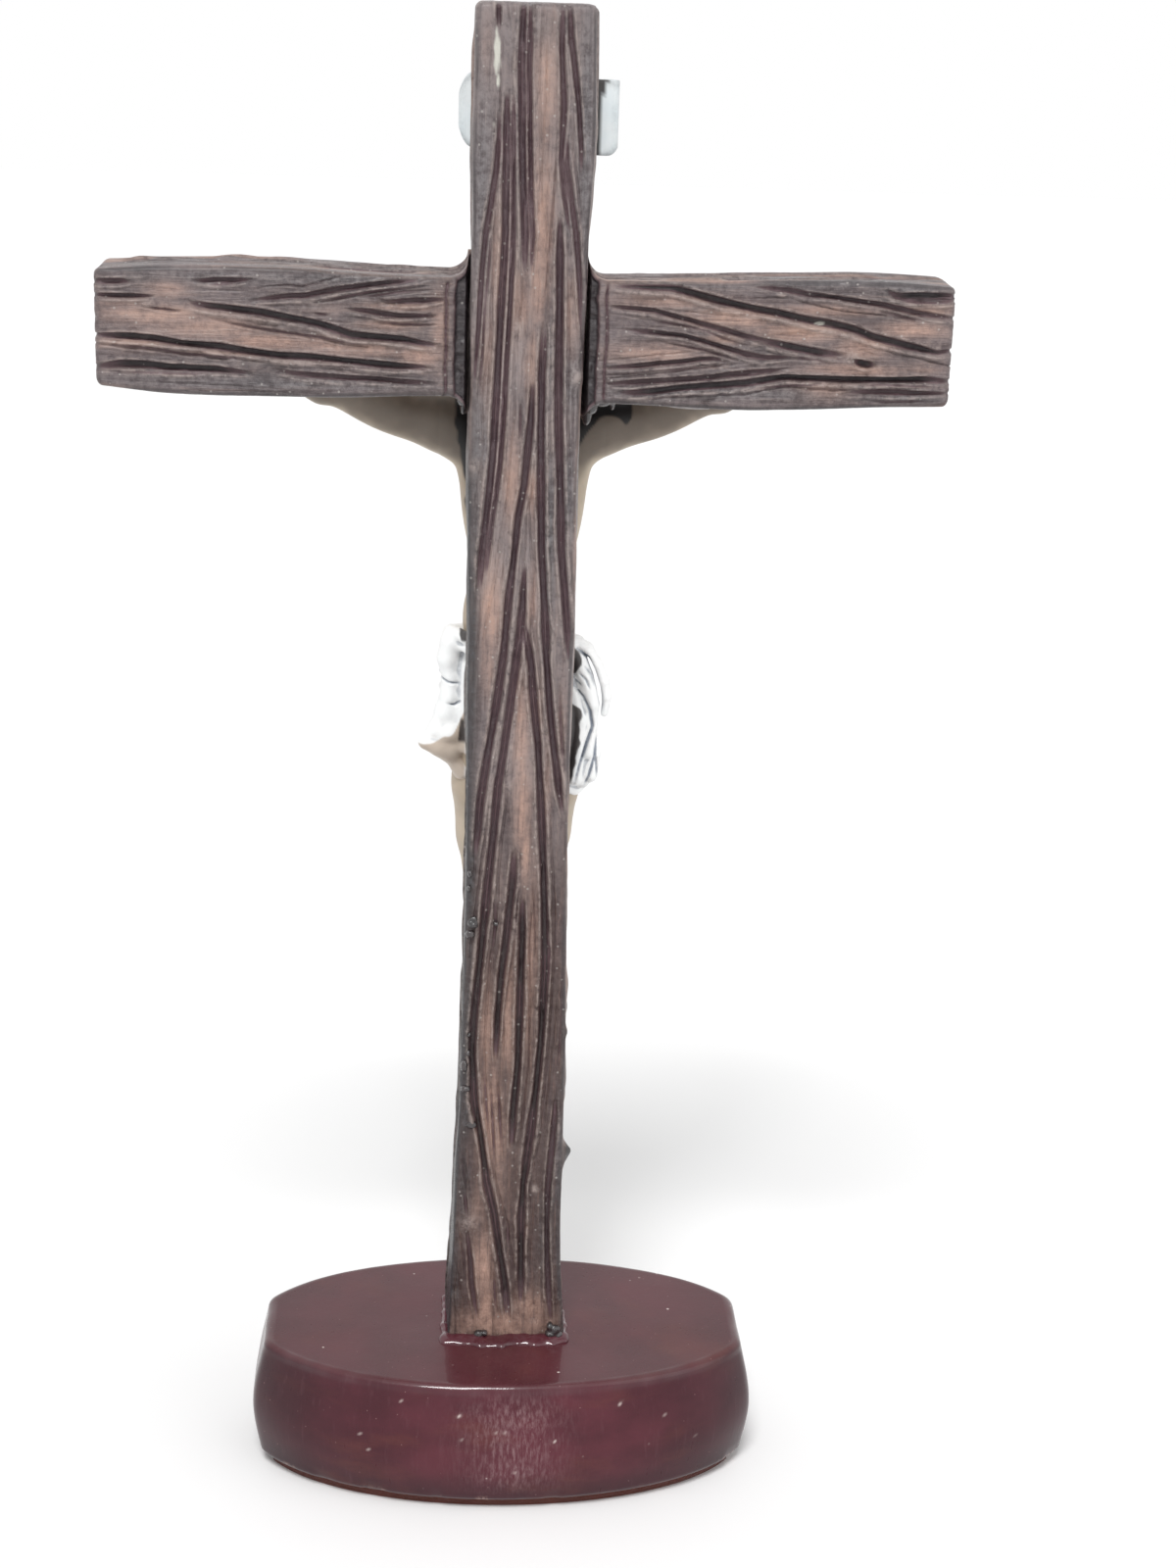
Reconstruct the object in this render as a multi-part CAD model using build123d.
"""Standing crucifix: an oval plinth, a lapped cross hewn like rough timber, a scroll and a cast figure.

Axes: +Z is up, the figure faces -Y, and the figure's left hand lies towards +X.
Origin: the centre of the plinth's underside, on the table. Lengths are in millimetres.
"""

import os
from math import cos, pi, sin

from build123d import *

# Plinth and the pad under it
PLINTH_TOP_Z = 24.5  # table to the plinth's top face
PLINTH_TOP_WIDTH = 85.6  # across the two side flats, at the top face
PLINTH_TOP_DEPTH = 48.0  # front to back, at the top face
PLINTH_OVAL_WIDTH = 91.0  # the oval's own width, before the flats cut it
PLINTH_SWELL = 2.2  # the sides swell this far outside the top outline
PLINTH_SWELL_Z = 11.5  # height of the widest line
PLINTH_TUCK = 1.4  # the bottom edge tucks in this far from the widest line
PLINTH_CORNER_RADIUS = 3.0  # where a flat meets the oval
PLINTH_TOP_RADIUS = 0.6
PLINTH_FOOT_RADIUS = 1.2
PAD_THICKNESS = 2.0
PAD_INSET = 2.2  # the pad's edge lies this far inside the plinth's bottom edge

# Cross
TOTAL_HEIGHT = 255.0
BEAM_THICKNESS = 14.0  # front to back, both beams
UPRIGHT_WIDTH = 18.0
CROSSBEAM_HEIGHT = 20.0
CROSSBEAM_Z = 203.6  # height of the crossbeam's centre line
BEAM_OVERHANG = 6.5  # from a hand nail to the crossbeam's end
BEAM_EDGE_RADIUS = 1.1
BEAM_CORNER_RADIUS = 1.6
LAP_WIDTH = 19.4  # the upright's width where it crosses the crossbeam
GUSSET_RADIUS = 3.2  # hollow fillet in each inner corner of the cross
SHADOW_GROOVE_WIDTH = 2.2  # groove beside the lap, on the back of the crossbeam
SHADOW_GROOVE_DEPTH = 1.3
GOUGE_HALF_WIDTH = 0.85  # a gouge stroke away from its ends
GOUGE_DEPTH = 0.9
KNOT_Z = 61.0  # branch stub on the upright's side
KNOT_RADIUS = 1.9
KNOT_TIP_RADIUS = 0.8
KNOT_LENGTH = 2.8

# Tenon, mortise and the screw that holds the cross down
TENON_WIDTH = 13.0
TENON_THICKNESS = 9.0
TENON_LENGTH = 13.0
TENON_CLEARANCE = 0.15
SCREW_RADIUS = 2.0
SCREW_HEAD_RADIUS = 3.8
SCREW_HEAD_HEIGHT = 2.4
SCREW_LENGTH = 16.0  # under the head
SCREW_POINT_LENGTH = 3.0
SCREW_SLOT_WIDTH = 0.9
SCREW_SLOT_DEPTH = 1.0
SCREW_CLEARANCE = 0.1
WASHER_RADIUS = 5.5
WASHER_THICKNESS = 1.0
COUNTERBORE_CLEARANCE = 0.3

# Figure
FIGURE_HEIGHT = 145.0  # standing height, sole to crown
HAND_NAIL_SPACING = 124.0
NAIL_RADIUS = 0.75
NAIL_HEAD_RADIUS = 1.7
NAIL_HEAD_HEIGHT = 1.1
NAIL_BITE = 6.0  # how deep a nail's shank sits in a beam
NAIL_CLEARANCE = 0.05
PEG_RADIUS = 1.5  # dowel behind the hips
PEG_LENGTH = 10.0
PEG_CLEARANCE = 0.05
CLOTH_THICKNESS = 1.5
CLOTH_FOLD_DEPTH = 0.55
CROWN_STRAND_RADIUS = 0.75
THORN_LENGTH = 1.9
THORN_RADIUS = 0.4

# Scroll
SCROLL_WIDTH = 26.0
SCROLL_HEIGHT = 12.0
SCROLL_THICKNESS = 1.3
SCROLL_DROP = 17.2  # from the top of the cross to the scroll's centre
SCROLL_SHIFT = -1.7  # the scroll sits off centre, towards the figure's right
SCROLL_ROLL_RADIUS = 1.6
SCROLL_WAVE = 0.7
SCROLL_PIN_RADIUS = 0.6
SCROLL_PIN_HEAD_RADIUS = 1.1
SCROLL_PIN_HEAD_HEIGHT = 0.6
SCROLL_PIN_BITE = 4.0
SCROLL_PIN_SPACING = 11.0

# Cuts run this far past the faces that they open
OVERRUN = 5.0

# Proportions. Heights are shares of the figure's height above the sole, sideways is towards the
# figure's left, and forward is measured from the front face of the beams.
# Torso stations: height, sideways, forward, half width, half depth
TORSO_SHARES = (
    (0.400, 0.003, 0.052, 0.066, 0.042),
    (0.440, 0.005, 0.052, 0.080, 0.049),
    (0.500, 0.006, 0.049, 0.080, 0.048),
    (0.555, 0.003, 0.044, 0.068, 0.042),
    (0.605, 0.000, 0.042, 0.061, 0.038),
    (0.665, -0.001, 0.047, 0.067, 0.045),
    (0.720, -0.001, 0.050, 0.074, 0.049),
    (0.765, 0.000, 0.049, 0.082, 0.047),
    (0.805, 0.000, 0.045, 0.078, 0.038),
    (0.838, -0.001, 0.045, 0.036, 0.029),
)
NECK_SHARES = (
    (0.815, 0.000, 0.045, 0.032, 0.028),
    (0.845, -0.004, 0.052, 0.028, 0.027),
    (0.880, -0.010, 0.062, 0.027, 0.028),
)
# Leg stations, hip to ankle: height, sideways, forward, half width, half depth
LEFT_LEG_SHARES = (
    (0.440, 0.038, 0.050, 0.044, 0.046),
    (0.370, 0.040, 0.056, 0.041, 0.043),
    (0.300, 0.035, 0.070, 0.033, 0.035),
    (0.248, 0.029, 0.082, 0.029, 0.031),
    (0.185, 0.024, 0.067, 0.026, 0.030),
    (0.090, 0.016, 0.036, 0.018, 0.020),
    (0.022, 0.010, 0.019, 0.016, 0.018),
)
RIGHT_LEG_SHARES = (
    (0.440, -0.036, 0.050, 0.044, 0.046),
    (0.370, -0.041, 0.058, 0.041, 0.043),
    (0.300, -0.035, 0.075, 0.033, 0.035),
    (0.248, -0.027, 0.090, 0.029, 0.031),
    (0.185, -0.020, 0.079, 0.026, 0.030),
    (0.090, -0.010, 0.055, 0.018, 0.020),
    (0.022, -0.005, 0.045, 0.016, 0.018),
)
# Foot stations, heel to toes
LEFT_FOOT_SHARES = (
    (0.030, 0.010, 0.017, 0.015, 0.019),
    (-0.010, 0.012, 0.021, 0.018, 0.018),
    (-0.048, 0.014, 0.025, 0.022, 0.015),
    (-0.068, 0.015, 0.029, 0.020, 0.010),
)
RIGHT_FOOT_SHARES = (
    (0.030, -0.005, 0.043, 0.015, 0.019),
    (-0.010, -0.007, 0.050, 0.018, 0.018),
    (-0.048, -0.009, 0.054, 0.022, 0.014),
    (-0.068, -0.010, 0.059, 0.020, 0.010),
)
TOE_LENGTH_SHARE = 0.028
TOE_RADIUS_SHARES = (0.0078, 0.0060, 0.0056, 0.0052, 0.0048)
TOE_SPREAD_SHARE = 0.0092
TOE_SINK_SHARE = 0.010
TOE_DIRECTION = (0, -0.35, -1)
DIGIT_TAPER_SHARE = 0.72
FOOT_NAIL_HEIGHT_SHARE = -0.022
FOOT_NAIL_SEAT_SHARE = 0.065  # forward place of the foot nail's seat
# Arm stations from shoulder to wrist: share of the way to the nail, sag below the straight line as a
# share of the figure's height, forward, half height, half depth
ARM_SHARES = (
    (0.00, 0.000, 0.044, 0.034, 0.034),
    (0.16, 0.004, 0.041, 0.033, 0.032),
    (0.36, 0.006, 0.036, 0.027, 0.027),
    (0.50, 0.003, 0.032, 0.022, 0.023),
    (0.64, 0.001, 0.030, 0.022, 0.022),
    (0.88, 0.000, 0.024, 0.014, 0.014),
    (0.94, 0.000, 0.022, 0.016, 0.011),
    (1.05, 0.000, 0.020, 0.022, 0.010),
)
SHOULDER_SIDE_SHARE = 0.074
SHOULDER_HEIGHT_SHARE = 0.805
HAND_NAIL_HEIGHT_SHARE = 0.930
HAND_NAIL_SEAT_SHARE = 0.030  # forward place of a hand nail's seat
FINGER_LENGTH_SHARES = (0.044, 0.048, 0.046, 0.038)
FINGER_RADIUS_SHARE = 0.0062
FINGER_SPREAD_SHARE = 0.0115
FINGER_SINK_SHARE = 0.012
FINGER_CURL = 0.55
FINGER_FAN = 0.10
THUMB_LENGTH_SHARE = 0.040
THUMB_RADIUS_SHARE = 0.0072
THUMB_BACK_SHARE = 0.034
THUMB_RISE = 0.9
# Head
HEAD_CENTRE_SHARES = (-0.019, 0.076, 0.917)  # sideways, forward, height
HEAD_RADIUS_SHARES = (0.043, 0.053, 0.066)  # half width, half depth, half height
# Ellipsoids of the head in its own frame: centre sideways, back and up, then the three half sizes
SKULL_SHARES = (0.0, 0.006, 0.012, 0.042, 0.052, 0.054)
JAW_SHARES = (0.0, -0.014, -0.022, 0.032, 0.034, 0.044)
FACE_SHARES = (
    (0.0, -0.048, -0.014, 0.0060, 0.0115, 0.0150),
    (0.015, -0.037, 0.010, 0.0140, 0.0110, 0.0045),
    (-0.015, -0.037, 0.010, 0.0140, 0.0110, 0.0045),
    (0.0, -0.045, -0.040, 0.0110, 0.0060, 0.0036),
)
HAIR_SHARES = (0.0, 0.010, 0.010, 0.050, 0.060, 0.062)
FACE_WINDOW_SHARES = (0.0, -0.062, -0.012, 0.036, 0.060, 0.054)
# Locks and beard in the head's own frame: sideways, back, up, half width, half depth
LEFT_LOCK_SHARES = (
    (0.042, 0.002, 0.020, 0.010, 0.022),
    (0.045, 0.000, -0.030, 0.012, 0.022),
    (0.045, 0.002, -0.075, 0.012, 0.018),
    (0.041, -0.002, -0.108, 0.006, 0.009),
)
RIGHT_LOCK_SHARES = (
    (-0.042, 0.002, 0.020, 0.010, 0.022),
    (-0.045, 0.000, -0.030, 0.012, 0.022),
    (-0.043, 0.000, -0.070, 0.012, 0.018),
    (-0.038, -0.008, -0.100, 0.006, 0.009),
)
BEARD_SHARES = (
    (0.0, -0.020, -0.030, 0.038, 0.027),
    (0.0, -0.025, -0.046, 0.034, 0.026),
    (0.0, -0.030, -0.064, 0.025, 0.021),
    (0.0, -0.033, -0.080, 0.017, 0.014),
    (0.0, -0.034, -0.092, 0.008, 0.007),
)
CROWN_RADIUS_SHARE = 0.053
CROWN_LIFT_SHARE = 0.032
CROWN_STRANDS = 3
CROWN_TILT_DEG = 7.0
THORN_COUNT = 14
THORN_RISE_DEG = 28.0
THORN_TIP_SHARE = 0.2
# Cloth rings: height, sideways, forward, half width, half depth of the hips inside it
CLOTH_SHARES = (
    (0.572, 0.002, 0.044, 0.066, 0.041),
    (0.540, 0.004, 0.046, 0.073, 0.045),
    (0.495, 0.006, 0.049, 0.081, 0.049),
    (0.450, 0.005, 0.052, 0.082, 0.051),
    (0.405, 0.002, 0.055, 0.082, 0.052),
    (0.365, 0.000, 0.059, 0.081, 0.050),
)
CLOTH_FOLDS = 9
CLOTH_FOLD_TURN = 0.7  # radians that the folds turn from ring to ring
CLOTH_RING_POINTS = 36
CLOTH_FLAP_SHARES = (
    (0.560, -0.055, 0.045, 0.020, 0.022),
    (0.520, -0.075, 0.043, 0.022, 0.026),
    (0.480, -0.093, 0.041, 0.023, 0.027),
    (0.450, -0.094, 0.041, 0.023, 0.027),
    (0.425, -0.079, 0.042, 0.022, 0.024),
    (0.400, -0.084, 0.042, 0.022, 0.025),
    (0.376, -0.078, 0.044, 0.019, 0.021),
)
CLOTH_TIP_SHARES = (
    (0.520, 0.066, 0.046, 0.021, 0.024),
    (0.470, 0.074, 0.046, 0.020, 0.024),
    (0.435, 0.087, 0.045, 0.020, 0.022),
    (0.412, 0.097, 0.044, 0.018, 0.016),
)
PEG_HEIGHT_SHARE = 0.50
HEAD_BOW_DEG = 22.0
HEAD_LEAN_DEG = 16.0
HEAD_TURN_DEG = 14.0

# Edges of the beams. Upright: share of the height from plinth to top, then half widths towards the
# figure's left and right as shares of the upright's width.
UPRIGHT_EDGE_SHARES = (
    (0.000, 0.578, 0.594),
    (0.041, 0.556, 0.561),
    (0.102, 0.522, 0.533),
    (0.197, 0.494, 0.539),
    (0.328, 0.464, 0.506),
    (0.527, 0.478, 0.494),
    (0.709, 0.506, 0.489),
    (0.835, 0.511, 0.517),
    (0.905, 0.522, 0.539),
    (1.000, 0.500, 0.533),
)
# Crossbeam: share of its half length towards the figure's left, then its upper and lower edge as
# shares of its height.
CROSSBEAM_EDGE_SHARES = (
    (-1.00, 0.50, -0.47),
    (-0.86, 0.52, -0.49),
    (-0.58, 0.51, -0.53),
    (-0.20, 0.475, -0.50),
    (0.20, 0.47, -0.47),
    (0.58, 0.52, -0.505),
    (0.86, 0.50, -0.49),
    (1.00, 0.48, -0.45),
)
# Gouge strokes along the grain, the same on front and back as seen from the back
GOUGE_TIP_SHARE = 0.35  # how much of its size a stroke keeps at its ends
# Upright: the points of each stroke as height share and sideways share, in the measures of its edge table
UPRIGHT_GOUGE_SHARES = (
    ((1.02, 0.100), (0.96, 0.105), (0.91, 0.090), (0.85, 0.045), (0.82, 0.040)),
    ((1.02, -0.235), (0.97, -0.235), (0.93, -0.265), (0.90, -0.255), (0.85, -0.345)),
    ((1.02, -0.290), (0.96, -0.355), (0.91, -0.420), (0.88, -0.435)),
    ((0.91, -0.300), (0.89, -0.305), (0.85, -0.405), (0.77, -0.490)),
    ((0.93, 0.295), (0.89, 0.305), (0.85, 0.390), (0.82, 0.415), (0.75, 0.470)),
    ((0.94, 0.230), (0.85, 0.215), (0.78, 0.250), (0.70, 0.285), (0.63, 0.360), (0.60, 0.390)),
    ((0.94, 0.170), (0.85, 0.150), (0.77, 0.185), (0.70, 0.215), (0.63, 0.310)),
    ((0.86, -0.255), (0.80, -0.280), (0.72, -0.295), (0.63, -0.350), (0.59, -0.400), (0.54, -0.465)),
    ((0.79, -0.145), (0.71, -0.140), (0.63, -0.170), (0.55, -0.245), (0.50, -0.295), (0.43, -0.435)),
    ((0.75, -0.055), (0.67, 0.0), (0.63, 0.067), (0.59, 0.12), (0.51, 0.215), (0.44, 0.34), (0.40, 0.375)),
    ((0.62, -0.020), (0.58, -0.010), (0.53, 0.055), (0.45, 0.180), (0.38, 0.250), (0.31, 0.310)),
    ((0.34, 0.285), (0.31, 0.31), (0.24, 0.37), (0.20, 0.34), (0.13, 0.20), (0.08, 0.072), (0.015, -0.04)),
    ((0.58, -0.015), (0.52, -0.130), (0.45, -0.220), (0.36, -0.290), (0.31, -0.310)),
    ((0.34, -0.300), (0.31, -0.310), (0.26, -0.295), (0.17, -0.205), (0.10, -0.145), (0.03, -0.160)),
    ((0.40, 0.010), (0.34, 0.060), (0.28, 0.130), (0.24, 0.145)),
    ((0.37, -0.080), (0.28, -0.078), (0.23, -0.072), (0.16, -0.028)),
    ((0.21, -0.450), (0.13, -0.400), (0.07, -0.410), (0.015, -0.470)),
    ((0.09, 0.390), (0.045, 0.330), (0.015, 0.265)),
)
# Crossbeam: the points of each stroke as sideways share and upward share
CROSSBEAM_GOUGE_SHARES = (
    ((1.03, -0.040), (0.86, -0.050), (0.72, -0.100), (0.58, -0.160), (0.44, -0.190), (0.22, -0.240)),
    ((0.79, 0.250), (0.70, 0.205), (0.61, 0.175), (0.50, 0.105), (0.44, 0.050), (0.37, 0.005)),
    ((0.44, 0.050), (0.37, 0.005), (0.29, -0.010), (0.20, -0.065)),
    ((0.64, 0.255), (0.56, 0.305), (0.44, 0.370), (0.35, 0.415), (0.24, 0.450)),
    ((0.34, 0.270), (0.19, 0.310)),
    ((0.42, 0.210), (0.29, 0.170), (0.21, 0.175)),
    ((1.03, 0.380), (0.91, 0.385)),
    ((0.78, 0.400), (0.64, 0.420)),
    ((1.03, 0.275), (0.86, 0.270)),
    ((1.03, -0.300), (0.94, -0.255), (0.83, -0.275), (0.64, -0.315)),
    ((0.59, -0.280), (0.53, -0.310), (0.37, -0.335), (0.21, -0.365)),
    ((-0.20, 0.450), (-0.34, 0.440), (-0.46, 0.345), (-0.58, 0.270), (-0.71, 0.190), (-0.80, 0.105)),
    ((-0.71, 0.190), (-0.80, 0.105), (-0.92, 0.015), (-0.96, -0.020), (-1.03, 0.010)),
    ((-0.52, 0.450), (-0.61, 0.440), (-0.74, 0.390), (-0.83, 0.350), (-0.92, 0.290), (-1.03, 0.245)),
    ((-0.86, 0.425), (-1.03, 0.435)),
    ((-0.18, 0.285), (-0.29, 0.260), (-0.44, 0.140), (-0.58, 0.025), (-0.74, -0.060)),
    ((-0.77, -0.100), (-0.82, -0.135)),
    ((-0.22, 0.100), (-0.37, 0.065), (-0.47, -0.025), (-0.56, -0.090), (-0.63, -0.085)),
    ((-0.18, -0.215), (-0.29, -0.165), (-0.41, -0.115), (-0.48, -0.150)),
    ((-0.18, -0.340), (-0.29, -0.300), (-0.42, -0.265), (-0.61, -0.180)),
    ((-0.21, -0.405), (-0.37, -0.345), (-0.51, -0.295), (-0.61, -0.240), (-0.79, -0.250), (-1.03, -0.250)),
    ((-0.75, -0.370), (-0.80, -0.345), (-1.03, -0.350)),
)

# Worked out from the sizes above
FRONT_Y = -BEAM_THICKNESS / 2
SOLE_Z = CROSSBEAM_Z - HAND_NAIL_HEIGHT_SHARE * FIGURE_HEIGHT
CROSSBEAM_LENGTH = HAND_NAIL_SPACING + 2 * BEAM_OVERHANG
CROSSBEAM_HALF = CROSSBEAM_LENGTH / 2
COUNTERBORE_Z = PAD_THICKNESS + COUNTERBORE_CLEARANCE + SCREW_HEAD_HEIGHT + WASHER_THICKNESS
SCREW_SEAT_Z = COUNTERBORE_Z - WASHER_THICKNESS
SCROLL_Z = TOTAL_HEIGHT - SCROLL_DROP
LAP_Y = 0  # the lap's meeting face lies on the mid plane of the beams


def figure_point(sideways, forward, height):
    """A point of the figure, from its shares."""
    return Vector(
        sideways * FIGURE_HEIGHT,
        FRONT_Y - forward * FIGURE_HEIGHT,
        SOLE_Z + height * FIGURE_HEIGHT,
    )


def prism(outline, near_y, far_y):
    """An outline drawn in front view, run from one depth to another."""
    face = Pos(0, far_y, 0) * (Plane.XZ * make_face(outline))
    return extrude(face, far_y - near_y, dir=(0, -1, 0))


def block(width, depth, height, centre_x, centre_y, bottom_z):
    """A box given by its centre in plan and its bottom height."""
    return Pos(centre_x, centre_y, bottom_z + height / 2) * Box(width, depth, height)


def drum(radius, bottom_z, top_z):
    """An upright cylinder on the plinth's axis."""
    return Pos(0, 0, (bottom_z + top_z) / 2) * Cylinder(radius, top_z - bottom_z)


def front_bar(radius, x, z, front_y, back_y):
    """A round bar that runs front to back."""
    middle = Pos(x, (front_y + back_y) / 2, z)
    return middle * Rot(90, 0, 0) * Cylinder(radius, abs(back_y - front_y))


def make_plinth():
    levels = (
        (PAD_THICKNESS, PLINTH_SWELL - PLINTH_TUCK),
        (PLINTH_SWELL_Z, PLINTH_SWELL),
        (PLINTH_TOP_Z, 0),
    )
    rings = [
        Pos(0, 0, z) * Ellipse(PLINTH_OVAL_WIDTH / 2 + out, PLINTH_TOP_DEPTH / 2 + out)
        for z, out in levels
    ]
    half = PLINTH_TOP_WIDTH / 2
    right = [(half + out, z) for z, out in levels]
    left = [(-x, z) for x, z in right]
    profile = [
        ThreePointArc(*right),
        Line(right[-1], left[-1]),
        ThreePointArc(*left),
        Line(left[0], right[0]),
    ]
    body = loft(rings) & prism(profile, -PLINTH_TOP_DEPTH, PLINTH_TOP_DEPTH)
    corners = [e for e in body.edges() if e.bounding_box().size.Z > PLINTH_SWELL_Z]
    body = fillet(corners, PLINTH_CORNER_RADIUS)
    body = fillet(body.faces().sort_by(Axis.Z)[-1].edges(), PLINTH_TOP_RADIUS)
    body = fillet(body.faces().sort_by(Axis.Z)[0].edges(), PLINTH_FOOT_RADIUS)
    mortise_z = PLINTH_TOP_Z - TENON_LENGTH - TENON_CLEARANCE
    mortise = block(
        TENON_WIDTH + 2 * TENON_CLEARANCE,
        TENON_THICKNESS + 2 * TENON_CLEARANCE,
        TENON_LENGTH + TENON_CLEARANCE + OVERRUN,
        0,
        0,
        mortise_z,
    )
    bore = drum(SCREW_RADIUS + SCREW_CLEARANCE, 0, PLINTH_TOP_Z)
    counterbore = drum(WASHER_RADIUS + COUNTERBORE_CLEARANCE, 0, COUNTERBORE_Z)
    return body - mortise - bore - counterbore


def make_pad():
    out = PLINTH_SWELL - PLINTH_TUCK - PAD_INSET
    oval = Ellipse(PLINTH_OVAL_WIDTH / 2 + out, PLINTH_TOP_DEPTH / 2 + out)
    flats = Rectangle(PLINTH_TOP_WIDTH + 2 * out, PLINTH_TOP_DEPTH + 2 * PLINTH_SWELL)
    return extrude(oval & flats, PAD_THICKNESS)


def make_screw():
    under = SCREW_SEAT_Z
    tip = under + SCREW_LENGTH
    edge = [
        (0, under - SCREW_HEAD_HEIGHT),
        (SCREW_HEAD_RADIUS, under - SCREW_HEAD_HEIGHT / 2),
        (SCREW_HEAD_RADIUS, under),
        (SCREW_RADIUS, under),
        (SCREW_RADIUS, tip - SCREW_POINT_LENGTH),
        (0, tip),
    ]
    head = ThreePointArc(
        edge[0],
        (SCREW_HEAD_RADIUS * cos(pi / 4), under - SCREW_HEAD_HEIGHT * (1 + cos(pi / 4)) / 2),
        edge[1],
    )
    outline = [head, Polyline(*edge[1:]), Line(edge[-1], edge[0])]
    screw = revolve(Plane.XZ * make_face(outline), Axis.Z)
    slot = block(
        2 * SCREW_HEAD_RADIUS,
        SCREW_SLOT_WIDTH,
        SCREW_SLOT_DEPTH,
        0,
        0,
        under - SCREW_HEAD_HEIGHT,
    )
    return screw - slot


def make_washer():
    ring = drum(WASHER_RADIUS, SCREW_SEAT_Z, COUNTERBORE_Z)
    return ring - drum(SCREW_RADIUS + SCREW_CLEARANCE, SCREW_SEAT_Z, COUNTERBORE_Z)


def gouge(places, across, outward):
    """A gouge stroke's cutter: a keel along the places on a beam's face, slimmer at both ends."""
    rings = []
    for index, place in enumerate(places):
        at_end = index in (0, len(places) - 1)
        share = GOUGE_TIP_SHARE if at_end else 1
        side = across * (GOUGE_HALF_WIDTH * share)
        deep = outward * (GOUGE_DEPTH * share)
        rings.append([place - side, place - deep, place + side, place + deep])
    faces = [Face(Wire.make_polygon(ring)) for ring in (rings[0], rings[-1])]
    for near, far in zip(rings, rings[1:]):
        for corner in range(len(near)):
            following = (corner + 1) % len(near)
            panel = [near[corner], near[following], far[following], far[corner]]
            faces.append(Face(Wire.make_polygon(panel)))
    return Solid(Shell(faces))


def upright_gouges():
    length = TOTAL_HEIGHT - PLINTH_TOP_Z
    cutters = []
    for face_y in (FRONT_Y, -FRONT_Y):
        outward = Vector(0, face_y, 0).normalized()
        for stroke in UPRIGHT_GOUGE_SHARES:
            places = [Vector(x * UPRIGHT_WIDTH, face_y, PLINTH_TOP_Z + z * length) for z, x in stroke]
            cutters.append(gouge(places, Axis.X.direction, outward))
    return cutters


def crossbeam_gouges():
    cutters = []
    for face_y in (FRONT_Y, -FRONT_Y):
        outward = Vector(0, face_y, 0).normalized()
        for stroke in CROSSBEAM_GOUGE_SHARES:
            places = [
                Vector(x * CROSSBEAM_HALF, face_y, CROSSBEAM_Z + z * CROSSBEAM_HEIGHT)
                for x, z in stroke
            ]
            cutters.append(gouge(places, Axis.Z.direction, outward))
    return cutters


def make_crossbeam_blank():
    upper = [(x * CROSSBEAM_HALF, CROSSBEAM_Z + top * CROSSBEAM_HEIGHT)
             for x, top, low in CROSSBEAM_EDGE_SHARES]
    lower = [(x * CROSSBEAM_HALF, CROSSBEAM_Z + low * CROSSBEAM_HEIGHT)
             for x, top, low in CROSSBEAM_EDGE_SHARES]
    outline = [
        Spline(*upper),
        Line(upper[-1], lower[-1]),
        Spline(*lower),
        Line(lower[0], upper[0]),
    ]
    body = prism(outline, FRONT_Y, -FRONT_Y)
    body = fillet(body.edges().filter_by(Axis.Y), BEAM_CORNER_RADIUS)
    rims = body.faces().filter_by(Axis.Y).edges()
    return fillet(rims, BEAM_EDGE_RADIUS)


def make_upright_blank():
    length = TOTAL_HEIGHT - PLINTH_TOP_Z
    left = [(side * UPRIGHT_WIDTH, PLINTH_TOP_Z + z * length) for z, side, other in UPRIGHT_EDGE_SHARES]
    right = [(-other * UPRIGHT_WIDTH, PLINTH_TOP_Z + z * length) for z, side, other in UPRIGHT_EDGE_SHARES]
    outline = [
        Spline(*left),
        Line(left[-1], right[-1]),
        Spline(*right),
        Line(right[0], left[0]),
    ]
    body = prism(outline, FRONT_Y, -FRONT_Y)
    top_corners = body.edges().filter_by(Axis.Y).sort_by(Axis.Z)[-2:]
    body = fillet(top_corners, BEAM_CORNER_RADIUS)
    bottom = body.faces().sort_by(Axis.Z)[0].edges()
    rims = [e for e in body.faces().filter_by(Axis.Y).edges() if e not in bottom]
    return fillet(rims, BEAM_EDGE_RADIUS)


def make_crossbeam():
    body = make_crossbeam_blank()
    bottom_z = CROSSBEAM_Z - CROSSBEAM_HEIGHT
    back_y = BEAM_THICKNESS / 2
    lap = block(
        LAP_WIDTH,
        back_y + OVERRUN,
        2 * CROSSBEAM_HEIGHT,
        0,
        LAP_Y + (back_y + OVERRUN) / 2,
        bottom_z,
    )
    body -= lap
    inner = LAP_WIDTH / 2
    outer = inner + SHADOW_GROOVE_WIDTH
    for side in (1, -1):
        groove = Polygon(
            (side * inner, back_y - SHADOW_GROOVE_DEPTH),
            (side * outer, back_y),
            (side * outer, back_y + OVERRUN),
            (side * inner, back_y + OVERRUN),
            align=None,
        )
        body -= Pos(0, 0, bottom_z) * extrude(groove, 2 * CROSSBEAM_HEIGHT)
    return body


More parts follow.
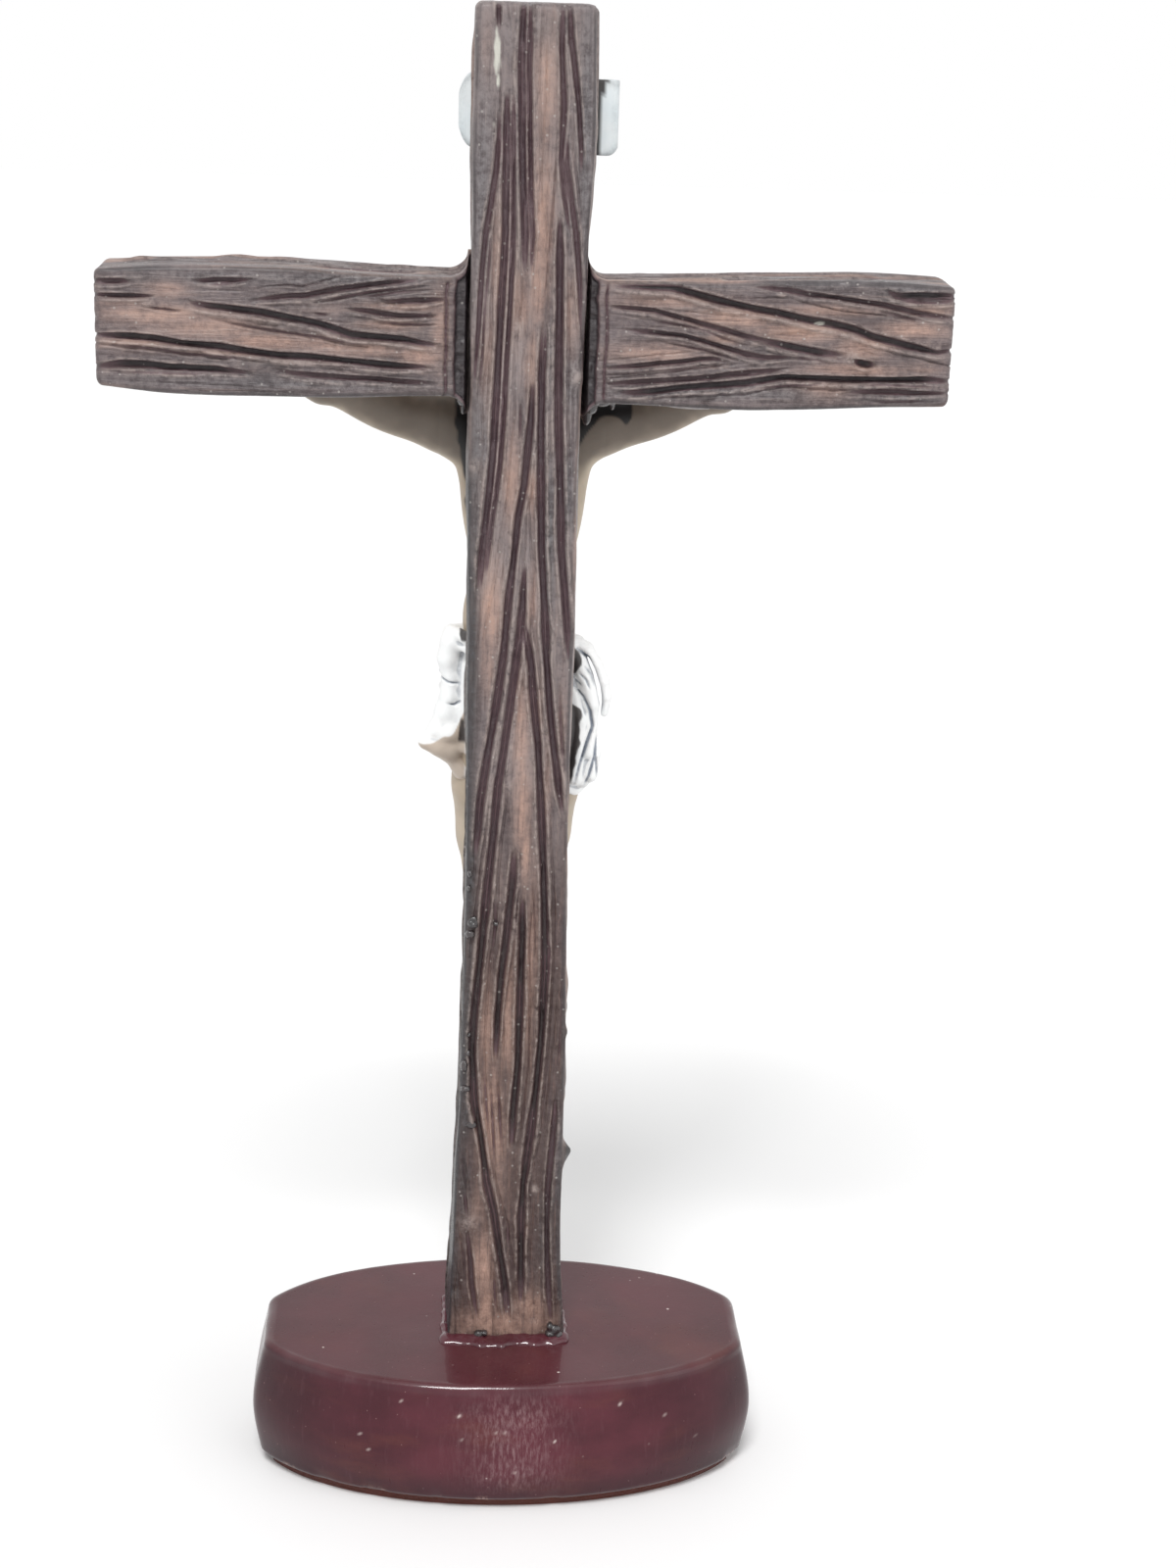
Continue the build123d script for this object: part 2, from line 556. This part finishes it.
def make_upright(crossbeam):
    body = make_upright_blank()
    back_y = BEAM_THICKNESS / 2
    lap_height = CROSSBEAM_HEIGHT + GUSSET_RADIUS
    body += block(
        LAP_WIDTH,
        back_y - LAP_Y - BEAM_EDGE_RADIUS,
        lap_height,
        0,
        LAP_Y + (back_y - LAP_Y - BEAM_EDGE_RADIUS) / 2,
        CROSSBEAM_Z - lap_height / 2,
    )
    inner = UPRIGHT_WIDTH / 2
    hollow = inner + GUSSET_RADIUS
    edge = CROSSBEAM_HEIGHT / 2
    for side in (1, -1):
        for rise in (1, -1):
            web = Polygon(
                (0, CROSSBEAM_Z),
                (side * hollow, CROSSBEAM_Z),
                (side * hollow, CROSSBEAM_Z + rise * (edge + GUSSET_RADIUS)),
                (0, CROSSBEAM_Z + rise * (edge + GUSSET_RADIUS)),
                align=None,
            )
            eye = Pos(side * hollow, CROSSBEAM_Z + rise * (edge + GUSSET_RADIUS))
            round_out = eye * Circle(GUSSET_RADIUS)
            face = Pos(0, back_y - BEAM_EDGE_RADIUS, 0) * (Plane.XZ * (web - round_out))
            body += extrude(face, BEAM_THICKNESS - 2 * BEAM_EDGE_RADIUS, dir=(0, -1, 0))
    body -= crossbeam
    stub = Cone(KNOT_RADIUS, KNOT_TIP_RADIUS, KNOT_LENGTH + KNOT_RADIUS)
    reach = UPRIGHT_WIDTH / 2 + (KNOT_LENGTH - KNOT_RADIUS) / 2
    body += Pos(-reach, 0, KNOT_Z) * Rot(0, -90, 0) * stub
    tenon = block(TENON_WIDTH, TENON_THICKNESS, TENON_LENGTH, 0, 0, PLINTH_TOP_Z - TENON_LENGTH)
    body += tenon
    pilot = drum(SCREW_RADIUS + SCREW_CLEARANCE, 0, SCREW_SEAT_Z + SCREW_LENGTH + SCREW_CLEARANCE)
    return body - pilot


def make_scroll():
    half = SCROLL_WIDTH / 2
    bore = SCROLL_ROLL_RADIUS - SCROLL_THICKNESS
    centre = half - SCROLL_ROLL_RADIUS
    sheet = Pos(0, FRONT_Y - SCROLL_THICKNESS / 2) * Rectangle(2 * centre, SCROLL_THICKNESS)
    for side in (1, -1):
        eye = Pos(side * centre, FRONT_Y - SCROLL_ROLL_RADIUS)
        curl = eye * (Circle(SCROLL_ROLL_RADIUS) - Circle(bore))
        sheet += curl
    body = Pos(SCROLL_SHIFT, 0, SCROLL_Z - SCROLL_HEIGHT / 2) * extrude(sheet, SCROLL_HEIGHT)
    left = SCROLL_SHIFT + half
    right = SCROLL_SHIFT - half
    low = SCROLL_Z - SCROLL_HEIGHT / 2
    high = SCROLL_Z + SCROLL_HEIGHT / 2
    corner = half - SCROLL_ROLL_RADIUS
    top = [(SCROLL_SHIFT - corner, high), (SCROLL_SHIFT, high - SCROLL_WAVE), (SCROLL_SHIFT + corner, high)]
    bottom = [(x, low + high - z) for x, z in top]
    outline = [
        ThreePointArc(*top),
        ThreePointArc(top[-1], (left, SCROLL_Z), bottom[-1]),
        ThreePointArc(*bottom),
        ThreePointArc(bottom[0], (right, SCROLL_Z), top[0]),
    ]
    return body & prism(outline, FRONT_Y - 2 * SCROLL_WIDTH, 0)


def nail(radius, head_radius, head_height, x, z, seat_y, tip_y):
    """A nail driven front to back: its head bears on seat_y and its shank ends at tip_y."""
    shank = front_bar(radius, x, z, seat_y, tip_y)
    top = ThreePointArc(
        (0, head_height),
        (head_radius * cos(pi / 4), head_height * sin(pi / 4)),
        (head_radius, 0),
    )
    outline = [top, Polyline((head_radius, 0), (0, 0), (0, head_height))]
    dome = revolve(Plane.XZ * make_face(outline), Axis.Z)
    return Pos(x, seat_y, z) * Rot(90, 0, 0) * dome + shank


def scroll_pin_places():
    return [SCROLL_SHIFT + side * SCROLL_PIN_SPACING / 2 for side in (1, -1)]


def make_scroll_pins():
    seat_y = FRONT_Y - SCROLL_THICKNESS
    tip_y = FRONT_Y + SCROLL_PIN_BITE
    return [
        nail(SCROLL_PIN_RADIUS, SCROLL_PIN_HEAD_RADIUS, SCROLL_PIN_HEAD_HEIGHT, x, SCROLL_Z, seat_y, tip_y)
        for x in scroll_pin_places()
    ]


def lofted(stations):
    """A body part lofted through level ellipses."""
    rings = []
    for height, sideways, forward, half_width, half_depth in stations:
        ring = Ellipse(half_width * FIGURE_HEIGHT, half_depth * FIGURE_HEIGHT)
        rings.append(Pos(figure_point(sideways, forward, height)) * ring)
    return loft(rings)


def digit(base, direction, length, radius):
    """A finger or toe: a tapering round bar with a round tip."""
    tip = radius * DIGIT_TAPER_SHARE
    corner = (tip, length - tip)
    crown = ThreePointArc(corner, (tip * cos(pi / 4), length - tip + tip * sin(pi / 4)), (0, length))
    outline = [Polyline((0, length), (0, 0), (radius, 0), corner), crown]
    bar = revolve(Plane.XZ * make_face(outline), Axis.Z)
    return Plane(origin=base, z_dir=direction) * bar


def make_foot(stations, inner_side):
    foot = lofted(stations)
    height, sideways, forward = stations[-1][:3]
    middle = (len(TOE_RADIUS_SHARES) - 1) / 2
    for place, radius in enumerate(TOE_RADIUS_SHARES):
        across = sideways + inner_side * (middle - place) * TOE_SPREAD_SHARE
        base = figure_point(across, forward, height + TOE_SINK_SHARE)
        foot += digit(base, TOE_DIRECTION, TOE_LENGTH_SHARE * FIGURE_HEIGHT, radius * FIGURE_HEIGHT)
    return foot


def behind_front():
    """Everything behind the front face of the beams, which the figure's back lies flat against."""
    depth = 2 * BEAM_THICKNESS
    return block(2 * CROSSBEAM_LENGTH, depth, 2 * TOTAL_HEIGHT, 0, FRONT_Y + depth / 2, 0)


def make_body():
    body = lofted(TORSO_SHARES) + lofted(NECK_SHARES)
    body += lofted(LEFT_LEG_SHARES)
    body += lofted(RIGHT_LEG_SHARES)
    body += make_foot(LEFT_FOOT_SHARES, -1)
    body += make_foot(RIGHT_FOOT_SHARES, 1)
    return body - behind_front()


def make_arm(side):
    shoulder = figure_point(side * SHOULDER_SIDE_SHARE, 0, SHOULDER_HEIGHT_SHARE)
    palm = Vector(side * HAND_NAIL_SPACING / 2, FRONT_Y, CROSSBEAM_Z)
    along = palm - shoulder
    rings = []
    for way, sag, forward, half_height, half_depth in ARM_SHARES:
        centre = shoulder + along * way + Vector(0, -forward, -sag) * FIGURE_HEIGHT
        place = Plane(origin=centre, x_dir=(0, 1, 0), z_dir=along)
        rings.append(place * Ellipse(half_depth * FIGURE_HEIGHT, half_height * FIGURE_HEIGHT))
    arm = loft(rings)
    knuckles = centre
    up = Vector(0, 0, 1)
    out = along.normalized()
    lift = up - out * out.dot(up)
    middle = (len(FINGER_LENGTH_SHARES) - 1) / 2
    for place, length in enumerate(FINGER_LENGTH_SHARES):
        step = (middle - place) * FINGER_SPREAD_SHARE * FIGURE_HEIGHT
        base = knuckles + lift * step - out * FINGER_SINK_SHARE * FIGURE_HEIGHT
        way = out + Vector(0, -FINGER_CURL, 0) + lift * (middle - place) * FINGER_FAN
        arm += digit(base, way, length * FIGURE_HEIGHT, FINGER_RADIUS_SHARE * FIGURE_HEIGHT)
    base = knuckles - out * THUMB_BACK_SHARE * FIGURE_HEIGHT
    way = out + lift * THUMB_RISE + Vector(0, -FINGER_CURL, 0)
    arm += digit(base, way, THUMB_LENGTH_SHARE * FIGURE_HEIGHT, THUMB_RADIUS_SHARE * FIGURE_HEIGHT)
    return arm - behind_front()


def head_place():
    sideways, forward, height = HEAD_CENTRE_SHARES
    centre = figure_point(sideways, forward, height)
    return Pos(centre) * Rot(HEAD_BOW_DEG, -HEAD_LEAN_DEG, -HEAD_TURN_DEG)


def ellipsoid(shares):
    """An ellipsoid in the head's own frame: centre, then half sizes, as shares of the figure's height."""
    x, y, z, half_width, half_depth, half_height = (share * FIGURE_HEIGHT for share in shares)
    return Pos(x, y, z) * scale(Sphere(1), by=(half_width, half_depth, half_height))


def head_loft(stations):
    """A lock of hair or beard in the head's own frame, lofted through level ellipses."""
    rings = []
    for station in stations:
        x, y, z, half_width, half_depth = (share * FIGURE_HEIGHT for share in station)
        rings.append(Pos(x, y, z) * Ellipse(half_width, half_depth))
    return loft(rings)


def make_head():
    head = ellipsoid(SKULL_SHARES) + ellipsoid(JAW_SHARES)
    for shares in FACE_SHARES:
        head += ellipsoid(shares)
    return head_place() * head


def make_hair():
    hair = ellipsoid(HAIR_SHARES) - ellipsoid(FACE_WINDOW_SHARES)
    hair += head_loft(LEFT_LOCK_SHARES)
    hair += head_loft(RIGHT_LOCK_SHARES)
    hair += head_loft(BEARD_SHARES)
    return head_place() * hair - behind_front()


def make_crown():
    radius = CROWN_RADIUS_SHARE * FIGURE_HEIGHT
    lift = CROWN_LIFT_SHARE * FIGURE_HEIGHT
    crown = Part()
    for turn in range(CROWN_STRANDS):
        tilt = Rot(0, 0, turn * 360 / CROWN_STRANDS) * Rot(CROWN_TILT_DEG, 0, 0)
        crown += Pos(0, 0, lift) * tilt * Torus(radius, CROWN_STRAND_RADIUS)
    thorn = Cone(THORN_RADIUS, THORN_RADIUS * THORN_TIP_SHARE, THORN_LENGTH + CROWN_STRAND_RADIUS)
    for place in range(THORN_COUNT):
        rise = THORN_RISE_DEG * (1 if place % 2 else -1)
        spin = Rot(0, 0, place * 360 / THORN_COUNT)
        out = Pos(radius + (THORN_LENGTH + CROWN_STRAND_RADIUS) / 2, 0, 0) * Rot(0, 90 - rise, 0)
        crown += Pos(0, 0, lift) * spin * out * thorn
    return head_place() * crown - behind_front()


def cloth_ring(height, sideways, forward, half_width, half_depth, turn):
    """The cloth's edge at one height: the hips' ellipse, let out by the cloth and its folds."""
    points = []
    for step in range(CLOTH_RING_POINTS):
        angle = 2 * pi * step / CLOTH_RING_POINTS
        let_out = CLOTH_THICKNESS + CLOTH_FOLD_DEPTH * sin(CLOTH_FOLDS * angle + turn)
        points.append((
            (half_width * FIGURE_HEIGHT + let_out) * cos(angle),
            (half_depth * FIGURE_HEIGHT + let_out) * sin(angle),
        ))
    edge = Spline(*points, periodic=True)
    return Pos(figure_point(sideways, forward, height)) * make_face(edge)


def make_cloth():
    rings = [cloth_ring(*station, index * CLOTH_FOLD_TURN) for index, station in enumerate(CLOTH_SHARES)]
    cloth = loft(rings)
    cloth += lofted(CLOTH_FLAP_SHARES)
    cloth += lofted(CLOTH_TIP_SHARES)
    return cloth - behind_front()


def make_hand_nail(side):
    seat_y = FRONT_Y - HAND_NAIL_SEAT_SHARE * FIGURE_HEIGHT
    tip_y = FRONT_Y + NAIL_BITE
    x = side * HAND_NAIL_SPACING / 2
    return nail(NAIL_RADIUS, NAIL_HEAD_RADIUS, NAIL_HEAD_HEIGHT, x, CROSSBEAM_Z, seat_y, tip_y)


def make_foot_nail():
    z = SOLE_Z + FOOT_NAIL_HEIGHT_SHARE * FIGURE_HEIGHT
    seat_y = FRONT_Y - FOOT_NAIL_SEAT_SHARE * FIGURE_HEIGHT
    return nail(NAIL_RADIUS, NAIL_HEAD_RADIUS, NAIL_HEAD_HEIGHT, 0, z, seat_y, FRONT_Y + NAIL_BITE)


def make_parts():
    crossbeam = make_crossbeam()
    upright = make_upright(crossbeam)
    body = make_body()
    head = make_head() - body
    crown = make_crown() - head
    hair = make_hair() - head - body - crown
    cloth = make_cloth() - body
    arms = {side: make_arm(side) - body for side in (1, -1)}
    hand_nails = {side: make_hand_nail(side) for side in (1, -1)}
    foot_nail = make_foot_nail()
    pins = make_scroll_pins()
    scroll = make_scroll()
    peg_z = SOLE_Z + PEG_HEIGHT_SHARE * FIGURE_HEIGHT
    peg = front_bar(PEG_RADIUS, 0, peg_z, FRONT_Y - PEG_LENGTH / 2, FRONT_Y + PEG_LENGTH / 2)
    peg_ends = FRONT_Y - PEG_LENGTH / 2 - PEG_CLEARANCE, FRONT_Y + PEG_LENGTH / 2 + PEG_CLEARANCE
    peg_hole = front_bar(PEG_RADIUS + PEG_CLEARANCE, 0, peg_z, *peg_ends)
    return {
        "base_plinth": make_plinth(),
        "base_pad": make_pad(),
        "base_screw": make_screw(),
        "base_washer": make_washer(),
        "upright": upright - upright_gouges() - peg_hole - foot_nail - pins,
        "crossbeam": crossbeam - crossbeam_gouges() - hand_nails[1] - hand_nails[-1],
        "titulus_scroll": scroll - pins,
        "titulus_pins": Compound(children=pins),
        "corpus_body": body - peg_hole - foot_nail,
        "corpus_arm_left": arms[1] - hand_nails[1],
        "corpus_arm_right": arms[-1] - hand_nails[-1],
        "corpus_head": head,
        "corpus_hair": hair,
        "crown_of_thorns": crown,
        "loincloth": cloth - peg_hole,
        "corpus_peg": peg,
        "hand_nail_left": hand_nails[1],
        "hand_nail_right": hand_nails[-1],
        "foot_nail": foot_nail,
    }


os.makedirs("parts", exist_ok=True)
for name, shape in make_parts().items():
    export_step(shape, f"parts/{name}.step")
